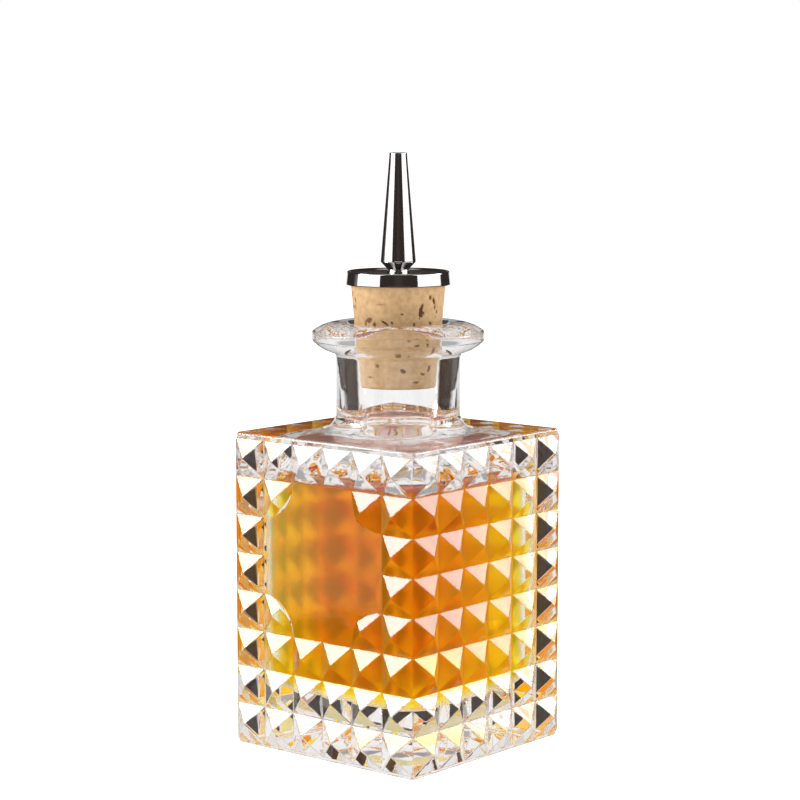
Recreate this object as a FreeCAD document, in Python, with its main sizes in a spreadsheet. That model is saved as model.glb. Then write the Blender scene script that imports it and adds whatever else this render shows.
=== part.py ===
"""Bitters bottle: a square pressed-glass bottle with a cork dasher stopper.

The origin is the middle of the base, +Z is up and the flat panel faces -Y.
"""
import FreeCAD, Part
import math
import os
import Sketcher

# Counts of the pressed pattern: points across a side, rows up it, and the cells the flat panel takes.
COLUMNS = 6
ROWS = 8
PANEL_COLUMNS = 4
PANEL_ROWS = 4
ROWS_UNDER_PANEL = 3

# Driving dimensions in millimetres.
SIZES = {
    # Glass body: the square through the valleys between the points, and the rims above and below.
    "body_width": 51.0,
    "point_depth": 2.4,
    "foot_rim": 0.8,
    "head_rim": 1.2,
    "head_stand": 0.2,
    "foot_corner": 1.0,
    "head_corner": 1.5,
    "foot_round": 0.5,
    "head_round": 0.6,
    "recess_radius": 17.0,
    "recess_depth": 1.2,
    # Cavity inside the body.
    "wall": 4.0,
    "base_thickness": 13.0,
    "shoulder_thickness": 5.5,
    "cavity_corner": 8.5,
    "cavity_floor_round": 4.0,
    "cavity_head_round": 5.0,
    # Neck and lip.
    "neck_radius": 13.85,
    "neck_flare": 4.0,
    "neck_height": 17.2,
    "bore_radius": 8.4,
    "lip_radius": 19.1,
    "lip_underside": 2.6,
    "lip_underside_round": 9.0,
    "lip_edge": 2.2,
    "lip_crown": 2.05,
    "crown_crest": 1.88,
    "mouth_roll": 2.0,
    # Liquid: how far its level lies under the cavity's ceiling, and its clearance from the glass.
    "headspace": 5.6,
    "liquid_gap": 0.05,
    # Cork: a straight taper, sunk in the neck by its depth below the crown of the lip.
    "cork_foot_radius": 8.475,
    "cork_head_radius": 10.6,
    "cork_length": 24.3,
    "cork_sink": 14.05,
    "cork_clearance": 0.15,
    "cork_edge": 0.4,
    "seat_run": 1.0,
    # Stem tube through the cork.
    "stem_radius": 1.7,
    "stem_bore": 1.1,
    "stem_rise": 1.6,
    "stem_clearance": 0.1,
    "flange_radius": 3.4,
    "flange_thickness": 0.7,
    # Cap over the head of the cork.
    "cap_seat": 0.1,
    "cap_plate": 0.6,
    "cap_skirt": 2.1,
    "cap_foot_radius": 11.6,
    "cap_head_radius": 11.35,
    "cap_gap": 0.3,
    "cap_bead": 0.3,
    "cap_bead_width": 0.6,
    # Spout.
    "spout_neck_radius": 2.3,
    "spout_neck": 0.5,
    "spout_flare": 1.8,
    "spout_belly_radius": 3.93,
    "spout_band": 0.4,
    "spout_length": 23.5,
    "spout_tip_radius": 1.95,
    "orifice_radius": 1.25,
    "orifice_land": 2.0,
    "spout_wall": 0.6,
    "spout_fit": 0.05,
    # How far cutting shapes run past what they cut.
    "overrun": 1.0,
}

doc = FreeCAD.newDocument("BittersBottle")
sheet = doc.addObject("Spreadsheet::Sheet", "Dimensions")
for row, (alias, value) in enumerate(SIZES.items(), start=1):
    sheet.set(f"A{row}", alias)
    sheet.set(f"B{row}", str(value))
    sheet.setAlias(f"B{row}", alias)
doc.recompute()


def cell(alias):
    """The expression that reads one driving dimension."""
    return f"Dimensions.{alias}"


def number(expression):
    """The present value of an expression."""
    value = sheet.evalExpression(expression)
    return float(getattr(value, "Value", value))


def bind(thing, **expressions):
    """Bind properties of a document object to expressions of the sheet."""
    for name, expression in expressions.items():
        thing.setExpression(name, expression)


def place(thing, x=None, y=None, z=None):
    """Bind the place of a document object."""
    for axis, expression in (("x", x), ("y", y), ("z", z)):
        if expression is not None:
            thing.setExpression(f"Placement.Base.{axis}", expression)


def add(kind, name, **links):
    """A new document object with its links set."""
    thing = doc.addObject(kind, name)
    for link, target in links.items():
        setattr(thing, link, target)
    return thing


def origin_plane(body, role):
    return next(item for item in body.Origin.OriginFeatures if item.Role == role)


def sketch_on(body, role, name):
    sketch = body.newObject("Sketcher::SketchObject", name)
    sketch.AttachmentSupport = [(origin_plane(body, role), "")]
    sketch.MapMode = "FlatFace"
    return sketch


def arc_between(start, end, radius, left):
    """The short arc from start to end that bulges to its left or right."""
    chord = end - start
    middle = (start + end) * 0.5
    across = FreeCAD.Vector(-chord.y, chord.x, 0).normalize()
    reach = math.sqrt(radius ** 2 - (chord.Length / 2) ** 2)
    side = 1 if left else -1
    centre = middle - across * (reach * side)
    crest = centre + across * (radius * side)
    return Part.Arc(start, crest, end)


def turned(name, points, arcs=()):
    """A body turned about Z from a half outline.

    points are (radius, height) expressions, with None for a radius on the axis.
    arcs gives, for the number of a span's first point, the radius and whether it bulges to the left.
    """
    arcs = dict(arcs)
    body = add("PartDesign::Body", name)
    sketch = sketch_on(body, "XZ_Plane", name + "Outline")
    spots = [FreeCAD.Vector(number(r) if r else 0, number(z), 0) for r, z in points]
    count = len(points)
    for i, start in enumerate(spots):
        end = spots[(i + 1) % count]
        if i in arcs:
            radius, left = arcs[i]
            sketch.addGeometry(arc_between(start, end, number(radius), left), False)
        else:
            sketch.addGeometry(Part.LineSegment(start, end), False)
    # An arc is always kept anticlockwise, so the ends of one that bulges to the left are swapped.
    first = [2 if i in arcs and arcs[i][1] else 1 for i in range(count)]
    for i in range(count):
        after = (i + 1) % count
        sketch.addConstraint(Sketcher.Constraint("Coincident", i, 3 - first[i], after, first[after]))
    for i, (r, z) in enumerate(points):
        if r is None:
            sketch.addConstraint(Sketcher.Constraint("PointOnObject", i, first[i], -2))
        else:
            index = sketch.addConstraint(Sketcher.Constraint("DistanceX", -1, 1, i, first[i], spots[i].x))
            sketch.setExpression(f"Constraints[{index}]", r)
        index = sketch.addConstraint(Sketcher.Constraint("DistanceY", -1, 1, i, first[i], spots[i].y))
        sketch.setExpression(f"Constraints[{index}]", z)
    for i, (radius, left) in arcs.items():
        index = sketch.addConstraint(Sketcher.Constraint("Radius", i, number(radius)))
        sketch.setExpression(f"Constraints[{index}]", radius)
    turn = body.newObject("PartDesign::Revolution", name + "Turn")
    turn.Profile = sketch
    turn.ReferenceAxis = (sketch, ["V_Axis"])
    turn.Angle = 360
    doc.recompute()
    return body


def round_edges(body, base, name, wanted, radius):
    """Round the edges of base that pass the test, to a bound radius."""
    edges = [f"Edge{i}" for i, edge in enumerate(base.Shape.Edges, start=1) if wanted(edge)]
    fillet = body.newObject("PartDesign::Fillet", name)
    fillet.Base = (base, edges)
    bind(fillet, Radius=radius)
    doc.recompute()
    return fillet


def is_upright(edge):
    box = edge.BoundBox
    return box.ZLength > max(box.XLength, box.YLength)


def lies_at(shape, top):
    level = shape.BoundBox.ZMax if top else shape.BoundBox.ZMin
    close = shape.BoundBox.ZLength / 1000
    return lambda edge: max(abs(edge.BoundBox.ZMin - level), abs(edge.BoundBox.ZMax - level)) < close


def square_block(name, width, height, z, corner, foot=None, head=None):
    """A square block centred on Z with rounded upright corners and, where asked, rounded foot and head edges."""
    body = add("PartDesign::Body", name)
    sketch = sketch_on(body, "XY_Plane", name + "Outline")
    half = number(width) / 2
    spots = [FreeCAD.Vector(x * half, y * half, 0) for x, y in ((-1, -1), (1, -1), (1, 1), (-1, 1))]
    for i in range(4):
        sketch.addGeometry(Part.LineSegment(spots[i], spots[(i + 1) % 4]), False)
    for i in range(4):
        sketch.addConstraint(Sketcher.Constraint("Coincident", i, 2, (i + 1) % 4, 1))
        sketch.addConstraint(Sketcher.Constraint("Vertical" if i % 2 else "Horizontal", i))
    sketch.addConstraint(Sketcher.Constraint("Symmetric", 0, 1, 2, 1, -1, 1))
    for kind, line in (("DistanceX", 0), ("DistanceY", 1)):
        index = sketch.addConstraint(Sketcher.Constraint(kind, line, 1, line, 2, number(width)))
        sketch.setExpression(f"Constraints[{index}]", width)
    pad = body.newObject("PartDesign::Pad", name + "Pad")
    pad.Profile = sketch
    bind(pad, Length=height)
    doc.recompute()
    tip = round_edges(body, pad, name + "Corners", is_upright, corner)
    if foot:
        tip = round_edges(body, tip, name + "Foot", lies_at(tip.Shape, False), foot)
    if head:
        tip = round_edges(body, tip, name + "Head", lies_at(tip.Shape, True), head)
    place(body, z=z)
    return body


# Levels and sizes that follow from the driving dimensions, as expressions.
PITCH = f"({cell('body_width')} / {COLUMNS})"
HALF_WIDTH = f"({cell('body_width')} / 2)"
POINTS_TOP = f"({cell('foot_rim')} + {ROWS} * {PITCH})"
BODY_TOP = f"({POINTS_TOP} + {cell('head_rim')})"
NECK_TOP = f"({BODY_TOP} + {cell('neck_height')})"
LIP_LOW = f"({NECK_TOP} + {cell('lip_underside')})"
LIP_HIGH = f"({LIP_LOW} + {cell('lip_edge')})"
CROWN = f"({LIP_HIGH} + {cell('lip_crown')})"
CAVITY_WIDTH = f"({cell('body_width')} - 2 * {cell('wall')})"
CEILING = f"({BODY_TOP} - {cell('shoulder_thickness')})"
CORK_FOOT = f"({CROWN} - {cell('cork_sink')})"
CORK_TOP = f"({CORK_FOOT} + {cell('cork_length')})"
CORK_TAPER = f"(({cell('cork_head_radius')} - {cell('cork_foot_radius')}) / {cell('cork_length')})"
CAP_UNDER = f"({CORK_TOP} + {cell('cap_seat')})"
CAP_TOP = f"({CAP_UNDER} + {cell('cap_plate')})"
STEM_HOLE = f"({cell('stem_radius')} + {cell('stem_clearance')})"


def cork_radius(z):
    return f"({cell('cork_foot_radius')} + {CORK_TAPER} * ({z} - {CORK_FOOT}))"


def seat_radius(z):
    return f"({cork_radius(z)} + {cell('cork_clearance')})"


MOUTH = f"({CROWN} - {cell('mouth_roll')})"
MOUTH_RADIUS = f"({seat_radius(MOUTH)} + {cell('mouth_roll')})"
CROWN_RADIUS = f"({MOUTH_RADIUS} + {cell('crown_crest')})"


def pressed_points():
    """The body's rows of four-sided points: stacked square tapers met by an upright toothed square."""
    on_end = FreeCAD.Rotation(FreeCAD.Vector(1, 0, 0), 90)
    tapers = []
    for i in range(2 * ROWS):
        taper = add("Part::Wedge", f"Taper{i}")
        taper.Placement.Rotation = on_end
        swell = f"({HALF_WIDTH} + {cell('point_depth')})"
        low, high = (swell, HALF_WIDTH) if i % 2 else (HALF_WIDTH, swell)
        bind(taper, Xmin=f"-{low}", Xmax=low, Zmin=f"-{low}", Zmax=low)
        bind(taper, X2min=f"-{high}", X2max=high, Z2min=f"-{high}", Z2max=high)
        taper.Ymin = 0
        bind(taper, Ymax=f"{PITCH} / 2")
        place(taper, z=f"{cell('foot_rim')} + {i} * {PITCH} / 2")
        tapers.append(taper)
    stack = add("Part::MultiFuse", "TaperStack", Shapes=tapers, Refine=True)
    height = f"({ROWS} * {PITCH} + 2 * {cell('overrun')})"
    bottom = f"({cell('foot_rim')} - {cell('overrun')})"
    core = add("Part::Box", "ToothCore")
    bind(core, Length=cell("body_width"), Width=cell("body_width"), Height=height)
    place(core, x=f"-{HALF_WIDTH}", y=f"-{HALF_WIDTH}", z=bottom)
    teeth = [core]
    for side in range(4):
        angle = side * 90
        along = FreeCAD.Rotation(FreeCAD.Vector(0, 0, 1), angle)
        cosine, sine = round(math.cos(math.radians(angle))), round(math.sin(math.radians(angle)))
        for i in range(COLUMNS):
            tooth = add("Part::Wedge", f"Tooth{side}_{i}")
            tooth.Placement.Rotation = along
            bind(tooth, Xmin=f"-{PITCH} / 2", Xmax=f"{PITCH} / 2", Zmax=height, Z2max=height)
            tooth.Ymin, tooth.Zmin, tooth.X2min, tooth.X2max, tooth.Z2min = 0, 0, 0, 0, 0
            bind(tooth, Ymax=cell("point_depth"))
            across = f"(({i} + 0.5) * {PITCH} - {HALF_WIDTH})"
            x = f"({cosine}) * {across} - ({sine}) * {HALF_WIDTH}"
            y = f"({sine}) * {across} + ({cosine}) * {HALF_WIDTH}"
            place(tooth, x=x, y=y, z=bottom)
            teeth.append(tooth)
    toothed = add("Part::MultiFuse", "ToothedSquare", Shapes=teeth, Refine=True)
    return add("Part::MultiCommon", "PressedPoints", Shapes=[stack, toothed])


def panel_cut():
    """What the panel clears away: a square down to the valleys, less a quarter round at each corner."""
    depth = f"({cell('point_depth')} + {cell('overrun')})"
    front = f"-{HALF_WIDTH}"
    left = f"(-{PANEL_COLUMNS} / 2 * {PITCH})"
    low = f"({cell('foot_rim')} + {ROWS_UNDER_PANEL} * {PITCH})"
    square = add("Part::Box", "PanelSquare")
    bind(square, Length=f"{PANEL_COLUMNS} * {PITCH}", Width=depth, Height=f"{PANEL_ROWS} * {PITCH}")
    place(square, x=left, y=f"{front} - {depth}", z=low)
    rounds = []
    for i in range(2):
        for j in range(2):
            corner = add("Part::Cylinder", f"PanelCorner{i}{j}")
            corner.Placement.Rotation = FreeCAD.Rotation(FreeCAD.Vector(1, 0, 0), 90)
            bind(corner, Radius=PITCH, Height=f"{depth} + 2 * {cell('overrun')}")
            x = f"{left} + {i * PANEL_COLUMNS} * {PITCH}"
            z = f"{low} + {j * PANEL_ROWS} * {PITCH}"
            place(corner, x=x, y=f"{front} + {cell('overrun')}", z=z)
            rounds.append(corner)
    corners = add("Part::MultiFuse", "PanelCorners", Shapes=rounds)
    return add("Part::Cut", "PanelCut", Base=square, Tool=corners)


def neck_form():
    """The outside of the neck and lip, from inside the shoulder up to the crown."""
    flare_radius = f"({cell('neck_radius')} + {cell('neck_flare')})"
    crown_run = f"({cell('lip_radius')} - {CROWN_RADIUS})"
    crown_round = f"(({crown_run}^2 + {cell('lip_crown')}^2) / (2 * {cell('lip_crown')}))"
    points = [
        (None, CEILING),
        (flare_radius, CEILING),
        (flare_radius, BODY_TOP),
        (cell("neck_radius"), f"{BODY_TOP} + {cell('neck_flare')}"),
        (cell("neck_radius"), NECK_TOP),
        (cell("lip_radius"), LIP_LOW),
        (cell("lip_radius"), LIP_HIGH),
        (CROWN_RADIUS, CROWN),
        (None, CROWN),
    ]
    arcs = {
        2: (cell("neck_flare"), True),
        4: (cell("lip_underside_round"), False),
        6: (crown_round, False),
    }
    return turned("NeckForm", points, arcs)


def neck_bore():
    """The way through the neck: a straight bore, the cork's seat, and the rolled edge of the mouth."""
    ledge = f"({CORK_FOOT} - {cell('seat_run')})"
    points = [
        (None, f"{CEILING} - {cell('overrun')}"),
        (cell("bore_radius"), f"{CEILING} - {cell('overrun')}"),
        (cell("bore_radius"), ledge),
        (seat_radius(ledge), ledge),
        (seat_radius(MOUTH), MOUTH),
        (MOUTH_RADIUS, CROWN),
        (MOUTH_RADIUS, f"{CROWN} + {cell('overrun')}"),
        (None, f"{CROWN} + {cell('overrun')}"),
    ]
    return turned("NeckBore", points, {4: (cell("mouth_roll"), True)})


def base_recess():
    """A shallow hollow under the base, part of a ball."""
    ball = add("Part::Sphere", "BaseRecess")
    radius = f"(({cell('recess_radius')}^2 + {cell('recess_depth')}^2) / (2 * {cell('recess_depth')}))"
    bind(ball, Radius=radius)
    place(ball, z=f"{cell('recess_depth')} - {radius}")
    return ball


def cavity_form(name, gap):
    """The space inside the body, drawn in by a gap on every side."""
    return square_block(
        name,
        f"{CAVITY_WIDTH} - 2 * {gap}",
        f"{CEILING} - {cell('base_thickness')} - 2 * {gap}",
        f"{cell('base_thickness')} + {gap}",
        f"{cell('cavity_corner')} - {gap}",
        foot=f"{cell('cavity_floor_round')} - {gap}",
        head=f"{cell('cavity_head_round')} - {gap}",
    )


def glass_bottle():
    """The pressed-glass bottle, one moulding."""
    points = add("Part::Cut", "PointsWithPanel", Base=pressed_points(), Tool=panel_cut())
    foot = square_block(
        "FootRim", cell("body_width"), cell("foot_rim"), "0", cell("foot_corner"), foot=cell("foot_round")
    )
    head_width = f"({cell('body_width')} + 2 * {cell('head_stand')})"
    head = square_block(
        "HeadRim", head_width, cell("head_rim"), POINTS_TOP, cell("head_corner"), head=cell("head_round")
    )
    outside = add("Part::MultiFuse", "GlassOutside", Shapes=[points, foot, head, neck_form()], Refine=True)
    inside = add("Part::MultiFuse", "GlassInside", Shapes=[cavity_form("Cavity", "0"), neck_bore()])
    hollow = add("Part::Cut", "GlassHollow", Base=outside, Tool=inside)
    return add("Part::Cut", "Glass", Base=hollow, Tool=base_recess())


def bitters_liquid():
    """The filling: the cavity's own form up to its level, a hair clear of the glass."""
    below = add("Part::Box", "BelowLevel")
    bind(below, Length=cell("body_width"), Width=cell("body_width"), Height=f"{CEILING} - {cell('headspace')}")
    place(below, x=f"-{HALF_WIDTH}", y=f"-{HALF_WIDTH}")
    return add("Part::MultiCommon", "Liquid", Shapes=[cavity_form("LiquidForm", cell("liquid_gap")), below])


def cork_stopper():
    """The tapered cork with its stem hole and a sunk seat for the stem's flange."""
    edge = cell("cork_edge")
    flange = f"({cell('flange_radius')} + {cell('stem_clearance')})"
    seat = f"({CORK_FOOT} + {cell('flange_thickness')} + {cell('stem_clearance')})"
    points = [
        (flange, CORK_FOOT),
        (f"{cell('cork_foot_radius')} - {edge}", CORK_FOOT),
        (cork_radius(f"({CORK_FOOT} + {edge})"), f"{CORK_FOOT} + {edge}"),
        (cork_radius(f"({CORK_TOP} - {edge})"), f"{CORK_TOP} - {edge}"),
        (f"{cell('cork_head_radius')} - {edge}", CORK_TOP),
        (STEM_HOLE, CORK_TOP),
        (STEM_HOLE, seat),
        (flange, seat),
    ]
    return turned("Cork", points)


def dasher_cap():
    """The polished cap: a flat plate with a raised bead round it and a skirt over the cork's head."""
    skirt_inside = f"({cell('cork_head_radius')} + {cell('cap_gap')})"
    skirt_foot = f"({CAP_UNDER} - {cell('cap_skirt')})"
    bead_inside = f"({cell('cap_head_radius')} - {cell('cap_bead_width')})"
    hole = f"({cell('stem_radius')} + {cell('spout_fit')})"
    points = [
        (hole, CAP_UNDER),
        (skirt_inside, CAP_UNDER),
        (skirt_inside, skirt_foot),
        (cell("cap_foot_radius"), skirt_foot),
        (cell("cap_head_radius"), CAP_TOP),
        (f"{cell('cap_head_radius')} - {cell('cap_bead_width')} / 2", f"{CAP_TOP} + {cell('cap_bead')}"),
        (bead_inside, CAP_TOP),
        (hole, CAP_TOP),
    ]
    return turned("Cap", points)


def pour_spout():
    """The hollow spout: a narrow neck on the cap, a sharp flare to its belly, then a long taper to the tip."""
    neck_top = f"({CAP_TOP} + {cell('spout_neck')})"
    belly = f"({neck_top} + {cell('spout_flare')})"
    band = f"({belly} + {cell('spout_band')})"
    tip = f"({band} + {cell('spout_length')})"
    socket = f"({cell('stem_radius')} + {cell('spout_fit')})"
    socket_top = f"({CAP_TOP} + {cell('stem_rise')} + {cell('spout_fit')})"
    points = [
        (socket, CAP_TOP),
        (cell("spout_neck_radius"), CAP_TOP),
        (cell("spout_neck_radius"), neck_top),
        (cell("spout_belly_radius"), belly),
        (cell("spout_belly_radius"), band),
        (cell("spout_tip_radius"), tip),
        (cell("orifice_radius"), tip),
        (cell("orifice_radius"), f"{tip} - {cell('orifice_land')}"),
        (f"{cell('spout_belly_radius')} - {cell('spout_wall')}", band),
        (socket, socket_top),
    ]
    return turned("Spout", points)


def stem_tube():
    """The tube from the foot of the cork up into the spout, with its flange sunk in the cork."""
    flange_top = f"({CORK_FOOT} + {cell('flange_thickness')})"
    top = f"({CAP_TOP} + {cell('stem_rise')})"
    points = [
        (cell("stem_bore"), CORK_FOOT),
        (cell("flange_radius"), CORK_FOOT),
        (cell("flange_radius"), flange_top),
        (cell("stem_radius"), flange_top),
        (cell("stem_radius"), top),
        (cell("stem_bore"), top),
    ]
    return turned("Stem", points)


NODES = {
    "glass_bottle": glass_bottle(),
    "bitters_liquid": bitters_liquid(),
    "cork_stopper": cork_stopper(),
    "dasher_cap": dasher_cap(),
    "pour_spout": pour_spout(),
    "stem_tube": stem_tube(),
}
for label, thing in NODES.items():
    thing.Label = label
doc.recompute()

failed = [thing.Label for thing in doc.Objects if {"Invalid", "Error"} & set(thing.State)]
if failed:
    raise RuntimeError(f"these did not build: {failed}")
for label, thing in NODES.items():
    if thing.Shape.isNull() or not thing.Shape.isValid():
        raise RuntimeError(f"{label} has no valid shape")

os.makedirs("parts", exist_ok=True)
for label, thing in NODES.items():
    thing.Shape.exportStep(os.path.join("parts", f"{label}.step"))
    box = thing.Shape.BoundBox
    print(
        f"{label}: {len(thing.Shape.Solids)} solid, {thing.Shape.Volume:.1f} mm3, "
        f"{box.XLength:.2f} x {box.YLength:.2f} x {box.ZLength:.2f}, z {box.ZMin:.2f} to {box.ZMax:.2f}"
    )
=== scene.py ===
# %% [markdown]
# # A bitters bottle in pressed glass
# The bottle is a square block of clear glass covered in four-sided points, filled with amber bitters and
# closed by a tapered cork that carries a polished cap and spout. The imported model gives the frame, and each
# piece below is modelled in that frame, in metres, so nothing has to be fitted afterwards.

# %% Load the frame
import math
import random
import bmesh
import bpy
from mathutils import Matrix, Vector, noise


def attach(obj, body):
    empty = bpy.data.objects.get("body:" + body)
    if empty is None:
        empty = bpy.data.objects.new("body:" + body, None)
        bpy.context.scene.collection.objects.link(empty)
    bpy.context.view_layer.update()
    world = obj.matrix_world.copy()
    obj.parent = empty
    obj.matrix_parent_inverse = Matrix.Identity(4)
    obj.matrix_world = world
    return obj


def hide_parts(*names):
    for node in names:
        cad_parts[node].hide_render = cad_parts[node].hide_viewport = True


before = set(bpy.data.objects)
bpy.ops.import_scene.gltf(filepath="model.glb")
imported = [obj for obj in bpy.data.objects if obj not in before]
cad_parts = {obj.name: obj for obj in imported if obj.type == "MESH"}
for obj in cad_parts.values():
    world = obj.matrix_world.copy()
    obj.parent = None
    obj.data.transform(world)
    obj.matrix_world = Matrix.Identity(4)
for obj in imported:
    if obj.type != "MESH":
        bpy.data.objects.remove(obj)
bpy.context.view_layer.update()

MM = 0.001

# %% [markdown]
# ## The camera
# The photograph was taken from a little above, with one upright corner of the bottle nearly facing the lens.
# The rows of points are a square grid, so they fix the camera: its bearing, its pitch, its distance and its
# focal length. A long lens keeps the uprights almost parallel.

# %% Place the camera
CAMERA_BEARING = math.radians(40.08)
CAMERA_PITCH = math.radians(6.985)
CAMERA_AIM_ASIDE = math.radians(0.04)
CAMERA_REACH = 549.0 * MM
CAMERA_HEIGHT = 143.9 * MM
PHOTO_SIDE_PX = 800
FOCAL_PX = 2497.4
SENSOR_WIDTH_MM = 36.0
NEAREST = 10 * MM

camera_data = bpy.data.cameras.new("photo_camera")
camera_data.sensor_width = SENSOR_WIDTH_MM
camera_data.lens = FOCAL_PX * camera_data.sensor_width / PHOTO_SIDE_PX
camera_data.clip_start = NEAREST
camera = bpy.data.objects.new("photo_camera", camera_data)
bpy.context.scene.collection.objects.link(camera)
camera.location = (
    CAMERA_REACH * math.sin(CAMERA_BEARING),
    -CAMERA_REACH * math.cos(CAMERA_BEARING),
    CAMERA_HEIGHT,
)
camera.rotation_euler = (math.pi / 2 - CAMERA_PITCH, 0, CAMERA_BEARING - CAMERA_AIM_ASIDE)
bpy.context.scene.camera = camera
print("lens", round(camera_data.lens, 1), "mm")

# %% [markdown]
# ## Tools for modelling
# A few helpers keep the later steps short. One clears the selection, because operators act on all that is
# selected. One selects faces or edges by a test, one makes a box, one rounds chosen edges, and one cuts or
# joins two solids and bakes the result into the first.


# %% Helpers for selecting and joining
NEARLY_ONE = 0.99
TOUCH = 0.01 * MM


def deselect_all():
    """Leave edit mode and clear the selection."""
    if bpy.context.mode != "OBJECT":
        bpy.ops.object.mode_set(mode="OBJECT")
    bpy.ops.object.select_all(action="DESELECT")


def make_active(piece):
    """Select one piece alone and make it the one that operators act on."""
    deselect_all()
    piece.select_set(True)
    bpy.context.view_layer.objects.active = piece


def select_in_edit(piece, faces=None, edges=None):
    """In edit mode, select the faces or the edges that pass a test."""
    bpy.ops.mesh.select_mode(type="FACE" if faces else "EDGE")
    bpy.ops.mesh.select_all(action="DESELECT")
    shape = bmesh.from_edit_mesh(piece.data)
    for item in shape.faces if faces else shape.edges:
        if (faces or edges)(item):
            item.select_set(True)
    bmesh.update_edit_mesh(piece.data)


def combine(piece, tool, operation):
    """Join or cut piece with tool, bake the result and delete the tool."""
    make_active(piece)
    step = piece.modifiers.new("combine", "BOOLEAN")
    step.operation = operation
    step.solver = "EXACT"
    step.object = tool
    bpy.ops.object.modifier_apply(modifier=step.name)
    bpy.data.objects.remove(tool)
    return piece


def new_box(name, low, high):
    """A cube primitive brought to the size and place of a box, with its place in its mesh."""
    deselect_all()
    low, high = Vector(low), Vector(high)
    bpy.ops.mesh.primitive_cube_add(size=1, location=(low + high) / 2)
    piece = bpy.context.object
    piece.name = piece.data.name = name
    piece.scale = high - low
    bpy.ops.object.transform_apply(location=True, rotation=True, scale=True)
    return piece


def round_edges(piece, wanted, radius, segments):
    """Round the edges that pass a test."""
    make_active(piece)
    bpy.ops.object.mode_set(mode="EDIT")
    select_in_edit(piece, edges=wanted)
    bpy.ops.mesh.bevel(offset=radius, segments=segments, affect="EDGES", profile=0.5)
    bpy.ops.object.mode_set(mode="OBJECT")


def is_upright(edge):
    """Test for the upright edges of a box."""
    a, b = (v.co for v in edge.verts)
    return abs((a - b).normalized().z) > NEARLY_ONE


def at_height(z):
    """A test for the edges that lie at one height."""
    return lambda edge: all(abs(v.co.z - z) < TOUCH for v in edge.verts)


# %% [markdown]
# ## A lathe
# Neck, cork, cap and spout are round, and on a bench they would be turned or spun. The lathe draws half the
# outline by extruding one point from place to place, then spins it. A last helper measures each finished
# piece and counts the edges that do not close, since glass must have none.


# %% A lathe for round pieces
DOUBLES = 0.001 * MM
FULL_WEIGHT = 100


def arc(centre, radius, start_deg, end_deg, steps):
    """Points of an arc in a profile, from one bearing to the other."""
    points = []
    for i in range(steps + 1):
        turn = math.radians(start_deg + (end_deg - start_deg) * i / steps)
        points.append((centre[0] + radius * math.cos(turn), centre[1] + radius * math.sin(turn)))
    return points


def lathe(name, profile, steps=128):
    """Draw a closed profile of (radius, height) points in millimetres and spin it upright."""
    deselect_all()
    bpy.ops.mesh.primitive_plane_add(size=1 * MM, location=(0, 0, 0))
    piece = bpy.context.object
    piece.name = piece.data.name = name
    bpy.ops.object.mode_set(mode="EDIT")
    bpy.ops.mesh.select_mode(type="VERT")
    bpy.ops.mesh.select_all(action="SELECT")
    bpy.ops.mesh.merge(type="CENTER")
    spots = [Vector((r * MM, 0, z * MM)) for r, z in profile]
    bpy.ops.transform.translate(value=spots[0])
    for before, after in zip(spots, spots[1:]):
        bpy.ops.mesh.extrude_vertices_move(TRANSFORM_OT_translate={"value": after - before})
    bpy.ops.mesh.select_all(action="SELECT")
    if profile[0][0] > 0 or profile[-1][0] > 0:
        bpy.ops.mesh.edge_face_add()
        bpy.ops.mesh.delete(type="ONLY_FACE")
        bpy.ops.mesh.select_all(action="SELECT")
    bpy.ops.mesh.spin(steps=steps, angle=2 * math.pi, center=(0, 0, 0), axis=(0, 0, 1))
    bpy.ops.mesh.select_all(action="SELECT")
    bpy.ops.mesh.remove_doubles(threshold=DOUBLES)
    bpy.ops.mesh.normals_make_consistent(inside=False)
    bpy.ops.object.mode_set(mode="OBJECT")
    return piece


def smooth(piece, degrees):
    """Shade rounds smooth, keep corners sharper than an angle crisp and large flats flat."""
    make_active(piece)
    bpy.ops.object.shade_smooth_by_angle(angle=math.radians(degrees))
    step = piece.modifiers.new("flats", "WEIGHTED_NORMAL")
    step.weight = FULL_WEIGHT
    step.keep_sharp = True
    bpy.ops.object.modifier_apply(modifier=step.name)


def open_edges(piece):
    """How many edges do not have exactly two faces."""
    uses = {}
    for face in piece.data.polygons:
        for key in face.edge_keys:
            uses[key] = uses.get(key, 0) + 1
    return sum(1 for count in uses.values() if count != 2)


def measure(piece):
    """Print the box of a piece in millimetres, its faces and its open edges."""
    low = [min(v.co[i] for v in piece.data.vertices) / MM for i in range(3)]
    high = [max(v.co[i] for v in piece.data.vertices) / MM for i in range(3)]
    box = [round(v, 2) for v in low + high]
    print(piece.name, box, len(piece.data.polygons), "faces,", open_edges(piece), "open edges")


# %% [markdown]
# ## The pressed points
# The mould presses rows of four-sided points into every side. By hand, this is a cube sliced into a grid of
# square cells, with each side cell poked outwards into a point. A small bevel then rounds the ridges and
# the valleys, as fire-polished glass is rounded.

# %% Slice a block into cells and poke them into points
BODY_WIDTH = 51.0 * MM
COLUMNS = 6
ROWS = 8
PITCH = BODY_WIDTH / COLUMNS
POINT_DEPTH = 2.4 * MM
FOOT_RIM = 0.8 * MM
HEAD_RIM = 1.2 * MM
HEAD_STAND = 0.2 * MM
HALF = BODY_WIDTH / 2
POINTS_TOP = FOOT_RIM + ROWS * PITCH
BODY_TOP = POINTS_TOP + HEAD_RIM
POINT_ROUND = 0.2 * MM
RIDGE_ANGLE = math.radians(20)
LEVEL_FACE = 0.9
SINK = 0.5 * MM


def on_points(face):
    """Test for the faces of the points, which are neither the top nor the bottom of the block."""
    height = face.calc_center_median().z
    return abs(face.normal.z) < LEVEL_FACE and FOOT_RIM < height < POINTS_TOP


def is_ridge(edge):
    """Test for the ridges and valleys of the points."""
    return edge.calc_face_angle(0) > RIDGE_ANGLE and any(on_points(face) for face in edge.link_faces)


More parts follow.
